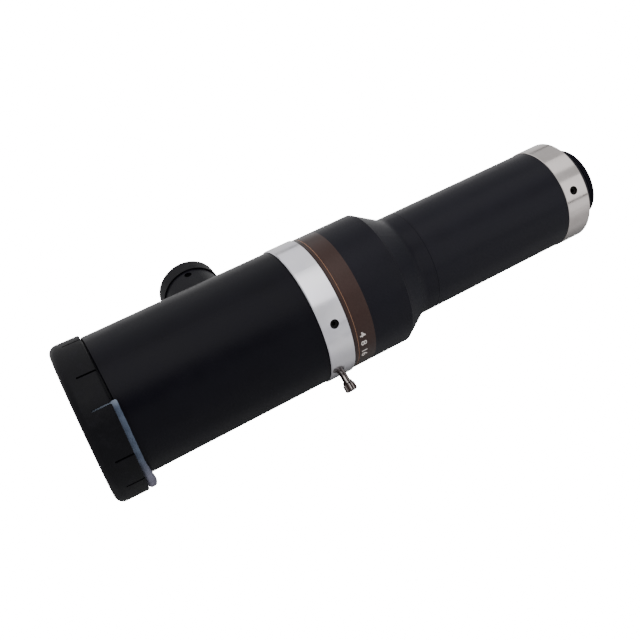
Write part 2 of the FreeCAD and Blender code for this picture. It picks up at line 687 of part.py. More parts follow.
def iris_drive_ring():
    """The ring that the set screws turn, with one slot for each blade's drive pin."""
    body = turned(
        (drive_front, drive_rim_radius), (drive_front, sleeve_bore - RUNNING),
        (drive_rear, sleeve_bore - RUNNING), (drive_rear, drive_bore),
        (drive_rear - DRIVE_WEB, drive_bore), (drive_rear - DRIVE_WEB, drive_rim_radius),
    )
    half = BLADE_PIN_RADIUS + BLADE_SLOT_PLAY
    foot = drive_rear - DRIVE_WEB - 1
    steps = 6
    path = [drive_pin_in_ring(k / steps) for k in range(steps + 1)]
    for index in range(BLADE_COUNT):
        cutters = []
        turn = FreeCAD.Rotation(AXIS, index * 360 / BLADE_COUNT)
        points = [turn.multVec(Vector(foot, p.y, p.z)) for p in path]
        for k in range(steps):
            run = points[k + 1] - points[k]
            side = AXIS.cross(run).normalize() * half
            corners = [points[k] + side, points[k + 1] + side, points[k + 1] - side,
                       points[k] - side, points[k] + side]
            cutters.append(Part.Face(Part.makePolygon(corners)).extrude(AXIS * (DRIVE_WEB + 2)))
        cutters += [rod(p, AXIS, DRIVE_WEB + 2, half) for p in points]
        body = body.cut(cutters[0].fuse(cutters[1:]))
    for k in range(IRIS_SCREW_COUNT):
        angle = IRIS_SCREW_ANGLE + k * 360 / IRIS_SCREW_COUNT
        body = body.cut(rod(place(iris_station, angle, dog_hole_floor), radial(angle),
                            sleeve_bore - dog_hole_floor + 1, DOG_POINT_RADIUS + SEATED))
    return body


def iris_base_plate():
    """The fixed plate behind the leaves, with their pivot holes and a rim round them."""
    body = turned(
        (drive_rear + 2 * RUNNING, base_rim_radius), (drive_rear + 2 * RUNNING, sleeve_bore - SEATED),
        (iris_seat, sleeve_bore - SEATED), (iris_seat, base_bore), (base_front, base_bore),
        (base_front, base_rim_radius),
    )
    for index in range(BLADE_COUNT):
        pivot, normal, _ = blade_frame(index)
        body = body.cut(rod(pivot, normal, BLADE_ROOM + BASE_THICKNESS,
                            BLADE_PIN_RADIUS + BLADE_PIN_PLAY))
    return body


def iris_keeper_ring():
    """Screwed into the sleeve in front of the drive ring to keep the iris together."""
    rear = drive_front - 2 * RUNNING
    return spanner_ring(rear - IRIS_KEEPER_LENGTH, rear, sleeve_bore - SEATED, iris_keeper_bore)


def stray_light_baffle():
    return ring(rear_spigot_front - BAFFLE_THICKNESS, rear_spigot_front, rear_spigot_radius,
                baffle_bore)


def rear_tube():
    """The narrow rear tube, with a threaded front spigot and a shoulder for the lens cell."""
    cell_seat = clamp_ring_front - REAR_CELL_FROM_REAR - CELL_LENGTH
    return turned(
        (rear_spigot_front, rear_tube_front_bore), (rear_spigot_front, rear_spigot_radius - EDGE_BREAK),
        (rear_spigot_front + EDGE_BREAK, rear_spigot_radius), (rear_tube_front, rear_spigot_radius),
        (rear_tube_front, REAR_TUBE_RADIUS - EDGE_BREAK / 2),
        (rear_tube_front + EDGE_BREAK / 2, REAR_TUBE_RADIUS),
        (clamp_ring_front, REAR_TUBE_RADIUS), (clamp_ring_front, rear_tube_bore),
        (cell_seat, rear_tube_bore), (cell_seat, rear_tube_front_bore),
    )


def rear_stations():
    """The rim planes of what the rear cell holds, from its lip to its retaining ring."""
    seat = clamp_ring_front - REAR_CELL_FROM_REAR - CELL_LENGTH + CELL_LIP
    after_positive = seat + POSITIVE_EDGE
    after_spacer = after_positive + REAR_SPACER_LENGTH
    after_negative = after_spacer + NEGATIVE_EDGE
    return seat, after_positive, after_spacer, after_negative, after_negative + REAR_RETAINER_LENGTH


def rear_lens_cell():
    rear = clamp_ring_front - REAR_CELL_FROM_REAR
    front = rear - CELL_LENGTH
    return turned(
        (front, cell_lip_radius), (front, rear_tube_bore - SEATED), (rear, rear_tube_bore - SEATED),
        (rear, cell_pocket), (front + CELL_LIP, cell_pocket), (front + CELL_LIP, cell_lip_radius),
    )


def rear_positive_lens():
    front, rear = rear_stations()[0:2]
    return lens(front, rear, cell_pocket - SEATED, cell_lip_radius, POSITIVE_FRONT_SAG,
                rear_clear_radius, POSITIVE_REAR_SAG)


def rear_spacer_ring():
    front, rear = rear_stations()[1:3]
    return ring(front, rear, cell_pocket - SEATED, rear_clear_radius)


def rear_negative_lens():
    front, rear = rear_stations()[2:4]
    return lens(front, rear, cell_pocket - SEATED, rear_clear_radius, -NEGATIVE_SAG,
                rear_clear_radius, -NEGATIVE_SAG)


def rear_retainer_ring():
    front, rear = rear_stations()[3:5]
    return ring(front, rear, cell_pocket - SEATED, rear_clear_radius)


def cell_lock_ring():
    front = clamp_ring_front - REAR_CELL_FROM_REAR
    return ring(front, front + CELL_LOCK_LENGTH, rear_tube_bore - SEATED, cell_lock_bore)


def rear_clamp_ring():
    """The bright ring at the rear: its set screws hold the mount adapter at any turn."""
    bore = clamp_ring_bore
    bend = CLAMP_RING_ROUNDING * (1 - math.sqrt(0.5))
    body = turned(
        (clamp_ring_front - CLAMP_SPIGOT_LENGTH, bore),
        (clamp_ring_front - CLAMP_SPIGOT_LENGTH, rear_tube_bore - SEATED),
        (clamp_ring_front, rear_tube_bore - SEATED),
        (clamp_ring_front, clamp_ring_radius - EDGE_BREAK / 2),
        (clamp_ring_front + EDGE_BREAK / 2, clamp_ring_radius),
        (clamp_ring_rear - CLAMP_RING_ROUNDING, clamp_ring_radius),
        ((clamp_ring_rear - bend, clamp_ring_radius - bend),
         (clamp_ring_rear, clamp_ring_radius - CLAMP_RING_ROUNDING)),
        (clamp_ring_rear, bore),
    )
    for k in range(CLAMP_SCREW_COUNT):
        angle = CLAMP_SCREW_ANGLE + k * 360 / CLAMP_SCREW_COUNT
        body = body.cut(rod(place(clamp_screw_station(), angle, THREAD_RADIUS), radial(angle),
                            clamp_ring_radius, CLAMP_SCREW_RADIUS))
    return body


def clamp_screw_station():
    return clamp_ring_rear - CLAMP_SCREW_FROM_REAR


def rear_clamp_set_screws():
    """Three cone-point set screws in the rear ring, over the adapter's groove."""
    screws = []
    radius = CLAMP_SCREW_RADIUS - SEATED / 2
    for k in range(CLAMP_SCREW_COUNT):
        angle = CLAMP_SCREW_ANGLE + k * 360 / CLAMP_SCREW_COUNT
        outward = radial(angle)
        top = clamp_ring_radius - SCREW_RECESS
        shoulder = adapter_spigot_radius + 2 * RUNNING
        thread = rod(place(clamp_screw_station(), angle, shoulder), outward, top - shoulder, radius)
        cone = Part.makeCone(radius, radius - CLAMP_GROOVE_DEPTH * 0.75, CLAMP_GROOVE_DEPTH * 0.75,
                             place(clamp_screw_station(), angle, shoulder), outward * -1)
        drive = socket(place(clamp_screw_station(), angle, top), outward, SOCKET_WIDTH, SOCKET_DEPTH)
        screws.append(thread.fuse(cone).removeSplitter().cut(drive))
    return Part.makeCompound(screws)


def mount_adapter():
    """The camera mount: a spigot in the clamp ring, the flange shoulder and the thread."""
    groove = clamp_screw_station()
    half = CLAMP_GROOVE_DEPTH + 2 * RUNNING
    floor = adapter_spigot_radius - CLAMP_GROOVE_DEPTH
    front = clamp_ring_rear - ADAPTER_SPIGOT_LENGTH
    return turned(
        (front, adapter_bore), (front, adapter_spigot_radius - EDGE_BREAK),
        (front + EDGE_BREAK, adapter_spigot_radius), (groove - half, adapter_spigot_radius),
        (groove - 2 * RUNNING, floor), (groove + 2 * RUNNING, floor),
        (groove + half, adapter_spigot_radius), (clamp_ring_rear + RUNNING, adapter_spigot_radius),
        (clamp_ring_rear + RUNNING, SHOULDER_RADIUS), (-EDGE_BREAK, SHOULDER_RADIUS),
        (0, SHOULDER_RADIUS - EDGE_BREAK), (0, THREAD_RADIUS),
        (thread_end - THREAD_CHAMFER, THREAD_RADIUS), (thread_end, THREAD_RADIUS - THREAD_CHAMFER),
        (thread_end, adapter_bore),
    )


def set_askew(shape):
    """Pushes the cap, or its foam, to one side of the barrel and tips it a little."""
    shape.rotate(Vector(cap_rim, 0, 0), radial(CAP_SHIFT_ANGLE + 90), CAP_TILT)
    shape.translate(radial(CAP_SHIFT_ANGLE) * cap_shift)
    return shape


def front_cap():
    """The moulded front cap, slit into wide and narrow fingers, pushed to one side of the barrel."""
    bend = CAP_CORNER * (1 - math.sqrt(0.5))
    body = turned(
        (cap_front, 0), (cap_front, cap_radius - CAP_CORNER),
        ((cap_front + bend, cap_radius - bend), (cap_front + CAP_CORNER, cap_radius)),
        (cap_rim - EDGE_BREAK, cap_radius), (cap_rim, cap_radius - EDGE_BREAK), (cap_rim, cap_bore),
        (cap_front + CAP_FLOOR, cap_bore), (cap_front + CAP_FLOOR, 0),
    )
    reach = cap_radius - cap_bore + 2
    for k in range(CAP_TAB_COUNT):
        for side in (-0.5, 0.5):
            angle = CAP_TAB_ANGLE + k * 360 / CAP_TAB_COUNT + side * CAP_TAB_WIDTH
            slit = Part.makeBox(CAP_SLIT_LENGTH + 1, CAP_SLIT_WIDTH, reach,
                                Vector(cap_rim - CAP_SLIT_LENGTH, -CAP_SLIT_WIDTH / 2, cap_bore - 1))
            slit.rotate(ORIGIN, AXIS, angle)
            body = body.cut(slit)
    return set_askew(body)


def cap_packing_strip():
    """A strip of foam round the cap's bore, on the side where the cap stands off the barrel."""
    front = cap_front + CAP_FLOOR + STRIP_START
    length = cap_rim + STRIP_PROUD - front
    outer = cap_bore - STRIP_GLUE_LINE
    section = Part.Face(Part.makePolygon([
        place(front, STRIP_FIRST_ANGLE, outer - STRIP_THICKNESS), place(front, STRIP_FIRST_ANGLE, outer),
        place(front + length, STRIP_FIRST_ANGLE, outer),
        place(front + length, STRIP_FIRST_ANGLE, outer - STRIP_THICKNESS),
        place(front, STRIP_FIRST_ANGLE, outer - STRIP_THICKNESS),
    ]))
    body = section.revolve(ORIGIN, AXIS, STRIP_TURN)
    return set_askew(body)


PIECES = {
    "front_cap": front_cap,
    "cap_packing_strip": cap_packing_strip,
    "front_barrel": front_barrel,
    "front_retainer_ring": front_retainer_ring,
    "front_crown_lens": front_crown_lens,
    "front_flint_lens": front_flint_lens,
    "front_spacer_tube": front_spacer_tube,
    "splitter_frame": splitter_frame,
    "beam_splitter_plate": beam_splitter_plate,
    "light_port_tube": light_port_tube,
    "port_set_screw": port_set_screw,
    "port_condenser_lens": port_condenser_lens,
    "port_retainer_ring": port_retainer_ring,
    "port_cap": port_cap,
    "stepped_housing": stepped_housing,
    "name_ring": name_ring,
    "iris_ring": iris_ring,
    "iris_ring_set_screws": iris_ring_set_screws,
    "lock_screw": lock_screw,
    "iris_keeper_ring": iris_keeper_ring,
    "iris_drive_ring": iris_drive_ring,
    "iris_base_plate": iris_base_plate,
    "stray_light_baffle": stray_light_baffle,
    "rear_tube": rear_tube,
    "rear_lens_cell": rear_lens_cell,
    "rear_positive_lens": rear_positive_lens,
    "rear_spacer_ring": rear_spacer_ring,
    "rear_negative_lens": rear_negative_lens,
    "rear_retainer_ring": rear_retainer_ring,
    "cell_lock_ring": cell_lock_ring,
    "rear_clamp_ring": rear_clamp_ring,
    "rear_clamp_set_screws": rear_clamp_set_screws,
    "mount_adapter": mount_adapter,
}

os.makedirs("parts", exist_ok=True)
shapes = {name: make() for name, make in PIECES.items()}
for number in range(BLADE_COUNT):
    shapes[f"iris_blade_{number + 1}"] = iris_blade(number)
for name, shape in shapes.items():
    shape.exportStep(f"parts/{name}.step")
    print(f"{name}: {len(shape.Solids)} solid(s), {shape.Volume:.1f} cubic mm, valid {shape.isValid()}")
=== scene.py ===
import bpy
import json
import math
from mathutils import Matrix, Vector, noise


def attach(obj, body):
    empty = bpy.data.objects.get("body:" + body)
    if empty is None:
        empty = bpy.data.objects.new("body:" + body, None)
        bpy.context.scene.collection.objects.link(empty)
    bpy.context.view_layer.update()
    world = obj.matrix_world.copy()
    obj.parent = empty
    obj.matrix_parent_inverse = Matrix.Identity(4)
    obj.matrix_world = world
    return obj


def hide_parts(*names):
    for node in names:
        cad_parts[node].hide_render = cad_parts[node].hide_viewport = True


# A telecentric machine vision lens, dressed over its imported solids. The optical axis is X, the front
# is at -X and the camera flange at X = 0. Angles round the axis run from +Z towards -Y.

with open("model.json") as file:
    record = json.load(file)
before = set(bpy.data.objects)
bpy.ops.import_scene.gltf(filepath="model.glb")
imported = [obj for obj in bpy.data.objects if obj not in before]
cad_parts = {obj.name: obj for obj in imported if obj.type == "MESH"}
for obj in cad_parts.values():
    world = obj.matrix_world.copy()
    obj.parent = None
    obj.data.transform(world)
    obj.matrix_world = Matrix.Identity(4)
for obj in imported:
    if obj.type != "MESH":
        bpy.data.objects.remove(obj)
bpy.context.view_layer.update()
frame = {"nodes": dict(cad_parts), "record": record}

MM = 0.001

# Stations along the lens, in millimetres
CAP_RIM = -176.18
FILTER_THREAD_MIDDLE = -182.3
LOCK_SCREW_STATION = -106.84
NAME_RING_FRONT = -102.6
LINE_STATION = -101.22

# The loose front cap: its tip and sideways shift, and the angles that they lean towards
CAP_TILT, CAP_TILT_TOWARDS = 1.3, 205
CAP_SHIFT, CAP_SHIFT_TOWARDS = 1.7, 115

# How far the stage reaches from the lens, in millimetres
STAGE_REACH = 6000


def clamp(value):
    """A value held between 0 and 1."""
    return min(1.0, max(0.0, value))


def smooth(value):
    """A value between 0 and 1, eased at both ends."""
    return value * value * (3 - 2 * value)


# Finishes


class Reading:
    """A number read off a finish's surface. Arithmetic on it adds Math nodes."""

    def __init__(self, finish, socket):
        self.finish = finish
        self.socket = socket

    def math(self, operation, *others):
        return self.finish.node("ShaderNodeMath", {"operation": operation},
                                dict(enumerate((self, *others))))

    def __add__(self, other):
        return self.math("ADD", other)

    def __sub__(self, other):
        return self.math("SUBTRACT", other)

    def __mul__(self, other):
        return self.math("MULTIPLY", other)

    def __abs__(self):
        return self.math("ABSOLUTE")


class Finish:
    """One finish of the lens: a Principled shader and the readings that vary it."""

    def __init__(self, name, **fixed):
        self.material = bpy.data.materials.new(name)
        self.material.use_nodes = True
        self.nodes = self.material.node_tree.nodes
        self.links = self.material.node_tree.links
        self.shader = self.nodes["Principled BSDF"]
        for socket, value in fixed.items():
            self.shader.inputs[socket.replace("_", " ")].default_value = value
        self.place = self.node("ShaderNodeTexCoord", {}, {}, "Object")

    def node(self, kind, settings, values, output=0):
        """Adds a node: its settings first, then the values or readings of its sockets."""
        node = self.nodes.new(kind)
        for name, value in settings.items():
            setattr(node, name, value)
        for name, value in values.items():
            self.feed(node.inputs[name], value)
        return Reading(self, node.outputs[output])

    def feed(self, socket, value):
        if isinstance(value, Reading):
            self.links.new(value.socket, socket)
        else:
            socket.default_value = value

    def stretched(self, along, across, up):
        """The surface's place, scaled along each axis of the lens, for a texture."""
        return self.node("ShaderNodeVectorMath", {"operation": "MULTIPLY"},
                         {0: self.place, 1: (along, across, up)})

    def grain(self, size, detail=2.0, roughness=0.5, stretch=(1.0, 1.0, 1.0)):
        """Noise from 0 to 1 whose features are about the given size in millimetres."""
        return self.node("ShaderNodeTexNoise", {},
                         {"Vector": self.stretched(*stretch), "Scale": 1.0 / (size * MM),
                          "Detail": detail, "Roughness": roughness})

    def tool_marks(self, pitch):
        """Fine rings left by turning, about the lens's own axis."""
        return self.grain(pitch, 3.0, 0.6, (1.0, 0.004, 0.004))

    def ramp(self, reading, low, high, start=0.0, end=1.0):
        """Maps a reading from low..high to start..end, and holds it there beyond."""
        return self.node("ShaderNodeMapRange", {"interpolation_type": "SMOOTHSTEP"},
                         {"Value": reading, "From Min": low, "From Max": high,
                          "To Min": start, "To Max": end})

    def station(self):
        """How far along the lens the surface is, in millimetres from the camera flange."""
        return self.node("ShaderNodeSeparateXYZ", {}, {0: self.place}, 0) * 1000.0

    def height(self):
        """How high the surface is above the optical axis, in millimetres."""
        return self.node("ShaderNodeSeparateXYZ", {}, {0: self.place}, 2) * 1000.0

    def side(self):
        """How far the surface is to the light port's side of the axis, in millimetres."""
        return self.node("ShaderNodeSeparateXYZ", {}, {0: self.place}, 1) * 1000.0

    def distance(self):
        """The surface's distance in millimetres from the optical axis."""
        return self.node("ShaderNodeVectorMath", {"operation": "LENGTH"},
                         {0: self.stretched(0.0, 1000.0, 1000.0)}, "Value")

    def near(self, reading, at, reach, soft):
        """1 where a reading lies within reach of a value, fading to 0 over soft."""
        return self.ramp(abs(reading - at), reach, reach + soft, 1.0, 0.0)

    def blend(self, mask, first, second):
        """Goes from the first colour or reading to the second as the mask goes from 0 to 1."""
        def colour(value):
            return value if isinstance(value, Reading) else (*value, 1.0)
        return self.node("ShaderNodeMix", {"data_type": "RGBA"},
                         {0: mask, 6: colour(first), 7: colour(second)}, 2)

    def paint(self, colour):
        self.feed(self.shader.inputs["Base Color"], colour)

    def gloss(self, roughness):
        self.feed(self.shader.inputs["Roughness"], roughness)

    def relief(self, height, depth, strength=1.0):
        """Raises the surface by a reading from 0 to 1, over a depth in millimetres."""
        bump = self.node("ShaderNodeBump", {}, {"Strength": strength, "Distance": depth * MM,
                                                "Height": height})
        self.feed(self.shader.inputs["Normal"], bump)


def black_anodised(name, sheen, dark, pale):
    finish = Finish(name, Specular_IOR_Level=sheen)
    blasting = finish.grain(0.12, 3.0)
    clouding = finish.grain(9.0, 3.0)
    finish.paint(finish.blend(clouding, dark, pale))
    finish.gloss(finish.ramp(clouding, 0.3, 0.7, 0.29, 0.36) + blasting * 0.05)
    inside = finish.ramp(finish.distance(), 21.2, 21.6, 1.0, 0.0)
    filter_band = inside * finish.near(finish.station(), FILTER_THREAD_MIDDLE, 2.0, 0.1)
    tooling = blasting * 0.024 + finish.tool_marks(0.35) * 0.016
    finish.relief(tooling + filter_band * 0.288, 0.25, 0.35)
    return finish.material


def matt_black_inner():
    finish = Finish("matt_black_inner", Specular_IOR_Level=0.2)
    finish.paint(finish.blend(finish.grain(2.0), (0.004, 0.004, 0.004), (0.009, 0.009, 0.0095)))
    finish.gloss(finish.ramp(finish.grain(0.4), 0.2, 0.8, 0.55, 0.75))
    finish.relief(finish.tool_marks(0.5), 0.08, 0.6)
    return finish.material


def bright_ring(name, colour, dull_colour, roughness, marks):
    finish = Finish(name, Metallic=1.0)
    rings = finish.tool_marks(marks)
    clouding = finish.grain(6.0, 3.0)
    finish.paint(finish.blend(finish.ramp(clouding, 0.25, 0.75), dull_colour, colour))
    finish.gloss(rings * 0.06 + finish.ramp(clouding, 0.2, 0.8, roughness - 0.05, roughness + 0.03))
    finish.relief(rings, 0.006, 0.4)
    return finish.material


def brown_anodised_ring():
    finish = Finish("brown_anodised_ring", Specular_IOR_Level=0.24,
                    Specular_Tint=(1.0, 0.80, 0.76, 1.0))
    line = finish.near(finish.station(), LINE_STATION, 0.045, 0.05)
    shut = finish.near(finish.station(), NAME_RING_FRONT, 0.12, 0.10)
    tint = finish.blend(finish.grain(7.0, 3.0), (0.020, 0.0098, 0.0082),
                        (0.027, 0.0136, 0.0116))
    # Painted shade: the brown is darkened where the surface is seen at a slant.
    painted_slant_shade = finish.node("ShaderNodeLayerWeight", {}, {"Blend": 0.5}, 1)
    tint = finish.blend(finish.ramp(painted_slant_shade, 0.35, 0.95), tint, (0.008, 0.0045, 0.0042))
    tint = finish.blend(shut, tint, (0.003, 0.0025, 0.0025))
    finish.paint(finish.blend(line, tint, (0.36, 0.20, 0.13)))
    finish.gloss(finish.tool_marks(0.3) * 0.12 + 0.24)
    finish.relief(finish.tool_marks(0.3), 0.006, 0.4)
    return finish.material


def cap_plastic():
    finish = Finish("cap_plastic", Specular_IOR_Level=0.09)
    pores = finish.grain(0.25, 4.0, 0.6)
    scuffs = finish.grain(3.5, 4.0, 0.65)
    finish.paint(finish.blend(finish.ramp(scuffs, 0.45, 0.75), (0.0025, 0.0023, 0.0034),
                              (0.0052, 0.0048, 0.0068)))
    finish.gloss(finish.ramp(scuffs, 0.3, 0.7, 0.42, 0.54) + pores * 0.06)
    finish.relief(pores, 0.03, 0.5)
    return finish.material


def packing_foam():
    finish = Finish("packing_foam", Specular_IOR_Level=0.25, Roughness=0.85)
    cells = finish.grain(0.35, 4.0, 0.65)
    patches = finish.grain(2.2, 3.0)
    mottle = finish.ramp(patches, 0.3, 0.7)
    # Painted light and shade: lit and shaded copies of the foam's blue, lighter towards the bottom and
    # again at the very top, darker between.
    shaded_foam = finish.blend(mottle, (0.045, 0.060, 0.092), (0.067, 0.086, 0.125))
    lit_foam = finish.blend(mottle, (0.125, 0.120, 0.160), (0.185, 0.176, 0.230))
    painted_light_and_shade = finish.blend(finish.ramp(finish.height(), -6.0, 12.0), lit_foam, shaded_foam)
    painted_light_and_shade = finish.blend(finish.ramp(finish.height(), 20.8, 22.2), painted_light_and_shade, (0.17, 0.20, 0.25))
    finish.paint(finish.blend(finish.ramp(cells, 0.55, 0.8) * 0.5, painted_light_and_shade, (0.035, 0.048, 0.070)))
    finish.relief(cells, 0.12, 0.7)
    return finish.material


def coated_glass(name, tint, coat):
    finish = Finish(name, Transmission_Weight=1.0, IOR=1.52, Coat_Weight=0.5, Coat_Tint=(*coat, 1.0),
                    Coat_Roughness=0.02)
    finish.paint(finish.blend(finish.grain(20.0), tint, tuple(channel * 0.97 for channel in tint)))
    finish.gloss(finish.ramp(finish.grain(5.0), 0.4, 0.8, 0.0, 0.02))
    return finish.material


def blackened_leaf_steel():
    finish = Finish("blackened_leaf_steel", Metallic=1.0)
    rub = finish.grain(1.2, 4.0, 0.6)
    finish.paint(finish.blend(finish.ramp(rub, 0.5, 0.8), (0.035, 0.035, 0.040),
                              (0.085, 0.083, 0.085)))
    finish.gloss(rub * 0.15 + 0.30)
    finish.relief(rub, 0.004, 0.3)
    return finish.material


def black_oxide_steel():
    finish = Finish("black_oxide_steel", Metallic=1.0)
    wear = finish.grain(0.3, 3.0)
    finish.paint(finish.blend(wear, (0.006, 0.006, 0.0065), (0.018, 0.017, 0.017)))
    finish.gloss(wear * 0.2 + 0.35)
    return finish.material


def lock_screw_steel():
    """Dark plated steel with painted highlights: bright streaks along the screw and near its two
    sides.
    """
    finish = Finish("lock_screw_steel", Metallic=1.0)
    wear = finish.grain(0.3, 3.0, 0.6)
    across = finish.station() - LOCK_SCREW_STATION + (wear - 0.5) * 0.25
    # Painted highlights: bright streaks along the screw and near its sides, put into the base colour.
    painted_highlight_streak = finish.near(across, -0.42, 0.10, 0.22) + finish.near(across, 0.50, 0.06, 0.20)
    painted_edge_highlight = finish.near(abs(across), 1.75, 0.15, 0.30) * 0.35
    finish.paint(finish.blend(painted_highlight_streak + painted_edge_highlight, (0.030, 0.021, 0.020), (0.32, 0.29, 0.28)))
    finish.gloss(finish.ramp(wear, 0.2, 0.8, 0.16, 0.30))
    finish.relief(wear, 0.01, 0.3)
    return finish.material


def scale_paint():
    finish = Finish("scale_paint", Specular_IOR_Level=0.3)
    finish.paint(finish.blend(finish.grain(0.4), (0.52, 0.47, 0.44), (0.66, 0.61, 0.58)))
    finish.gloss(finish.ramp(finish.grain(0.3), 0.2, 0.8, 0.4, 0.55))
    return finish.material


FINISHES = {
    "black_anodised_barrel": black_anodised("black_anodised_barrel", 0.072, (0.0024, 0.0021, 0.0038),
                                            (0.0043, 0.0039, 0.0067)),
    "matt_black_inner": matt_black_inner(),
    "coated_lens_glass": coated_glass("coated_lens_glass", (0.93, 0.96, 0.95), (0.55, 0.75, 0.85)),
    "splitter_glass": coated_glass("splitter_glass", (0.90, 0.92, 0.90), (0.85, 0.80, 0.70)),
    "blackened_leaf_steel": blackened_leaf_steel(),
    "cap_plastic": cap_plastic(),
    "packing_foam": packing_foam(),
    "brown_anodised_ring": brown_anodised_ring(),
    "bright_ring": bright_ring("bright_ring", (0.67, 0.655, 0.685), (0.615, 0.600, 0.650),
                               0.185, 0.25),
    "set_screw_steel": black_oxide_steel(),
    "nickel_steel": lock_screw_steel(),
}
OWN_FINISHES = {
    "rear_clamp_ring": bright_ring("rear_ring_metal", (0.505, 0.465, 0.45), (0.455, 0.415, 0.40),
                                   0.14, 0.18),
    "stepped_housing": black_anodised("black_anodised_housing", 0.10, (0.0038, 0.0034, 0.0062),
                                      (0.0064, 0.0058, 0.0101)),
    "rear_tube": black_anodised("black_anodised_tube", 0.11, (0.0040, 0.0036, 0.0066),
                                (0.0066, 0.0060, 0.0105)),
}

for row in frame["record"]["subparts"]:
    node = frame["nodes"][row["node"]]
    finish = OWN_FINISHES.get(row["node"], FINISHES[row["material_slot"]])
    node.data.materials.clear()
    node.data.materials.append(finish)


# Pieces


def spoke(angle):
    """The unit direction square to the axis at an angle from +Z towards -Y."""
    return Vector((0, -math.sin(math.radians(angle)), math.cos(math.radians(angle))))


def add_piece(name, points, faces, finish, body, slot, *nodes):
    """Makes one piece from points in millimetres, and lets it ride on a body in a node's place."""
    mesh = bpy.data.meshes.new(name)
    mesh.from_pydata([Vector(point) * MM for point in points], [], faces)
    mesh.validate()
    mesh.shade_smooth()
    mesh.set_sharp_from_angle(angle=math.radians(32))
    mesh.materials.append(finish)
    piece = bpy.data.objects.new(name, mesh)
    bpy.context.scene.collection.objects.link(piece)
    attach(piece, body)
    if nodes:
        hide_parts(*nodes)
    return piece


def turn(outline, around, radius_at):
    """Turns an outline of (station, radius) about X. radius_at changes a radius with its angle."""
    points, faces = [], []
    count = len(outline)
    for step in range(around):
        angle = 360 * step / around
        for station, radius in outline:
            turned = radius_at(station, radius, angle)
            points.append(Vector((station, 0, 0)) + spoke(angle) * turned)
    for step in range(around):
        after = (step + 1) % around
        for k in range(count):
            nxt = (k + 1) % count
            faces.append((step * count + k, step * count + nxt,
                          after * count + nxt, after * count + k))
    return points, faces


def camera_mount():
    """The mount adapter with its real 0.8 mm thread cut round the end."""
    pitch, depth = 25.4 / 32, 0.43
    crest, shoulder, bore, stem = 12.7, 15.0, 10.8, 13.95
    start, end = 0.55, 4.0

    def threaded(station, radius, angle):
        if radius != crest or not start <= station <= end:
            return radius
        phase = ((station - start) / pitch - angle / 360) % 1.0
        flank = clamp(abs(phase - 0.5) * 2.9 - 0.22)
        runout = clamp((station - start) / (0.8 * pitch))
        lead = clamp((end - station) / 0.35)
        return radius - depth * (1.0 - flank) * runout - 0.25 * (1.0 - lead)

    steps = 72
    thread = [(start + (end - start) * k / steps, crest) for k in range(steps + 1)]
    outline = [
        (-14.5, bore), (-14.5, stem - 0.3), (-14.2, stem), (-9.6, stem), (-8.2, stem - 1.4),
        (-8.0, stem - 1.4), (-6.6, stem), (-2.65, stem), (-2.65, shoulder - 0.15), (-2.5, shoulder),
        (-0.3, shoulder), (-0.12, shoulder - 0.09), (0, shoulder - 0.3), (0, crest - 0.45),
        (0.35, crest - 0.45), (0.45, crest - 0.2), *thread, (end, bore + 0.25), (end - 0.2, bore),
        (2.4, bore), (2.2, bore + 0.35), (1.7, bore + 0.35), (1.5, bore), (-1.5, bore),
        (-1.7, bore + 0.35), (-2.2, bore + 0.35), (-2.4, bore),
    ]
    points, faces = turn(outline, 240, threaded)
    add_piece("camera_mount", points, faces, OWN_FINISHES["rear_tube"], "mount_adapter",
              "black_anodised_barrel", "mount_adapter")


def knurled_lock_screw():
    """The lock screw of the iris ring, with a straight knurl on its head."""
    angle, threads = 107.5, 22
    tip, shank, collar, head, end = 20.0, 1.28, 1.62, 2.05, 29.92
    neck, under = 26.42, 27.22
    knurls, cut = 20, 0.17

    def knurled(along, radius, around):
        if not under < along < end or radius < 1.5:
            return radius
        wave = abs(math.sin(math.radians(around * knurls / 2)))
        return radius - cut * (1 - wave) ** 1.5

    outline = [
        (tip, 0.01), (tip, shank - 0.3), (tip + 0.3, shank),
        *[(20.5 + 0.15 * k, shank - (0.14 if k % 2 else 0.0)) for k in range(threads)],
        (23.9, shank - 0.06),
        (neck - 0.08, shank - 0.06), (neck, shank),
        (neck, collar - 0.12), (neck + 0.12, collar), (under - 0.1, collar), (under, collar - 0.1),
        (under, head - 0.42), (under + 0.06, head - 0.30), (under + 0.32, head),
        (end - 0.32, head), (end - 0.06, head - 0.30), (end, head - 0.42), (end, 1.1),
        (end - 0.12, 0.95), (end - 0.12, 0.01),
    ]
    points, faces = turn(outline, 160, knurled)
    swing = Vector((1, 0, 0)).rotation_difference(spoke(angle)).to_matrix()
    points = [swing @ point + Vector((LOCK_SCREW_STATION, 0, 0)) for point in points]
    add_piece("knurled_lock_screw", points, faces, FINISHES["nickel_steel"], "lock_screw",
              "nickel_steel", "lock_screw")


def set_askew(point):
    """Where a point of the cap is once the cap is pushed to one side and tipped."""
    rim = Vector((CAP_RIM, 0, 0))
    tip = Matrix.Rotation(math.radians(CAP_TILT), 3, spoke(CAP_TILT_TOWARDS))
    return tip @ (point - rim) + rim + spoke(CAP_SHIFT_TOWARDS) * CAP_SHIFT


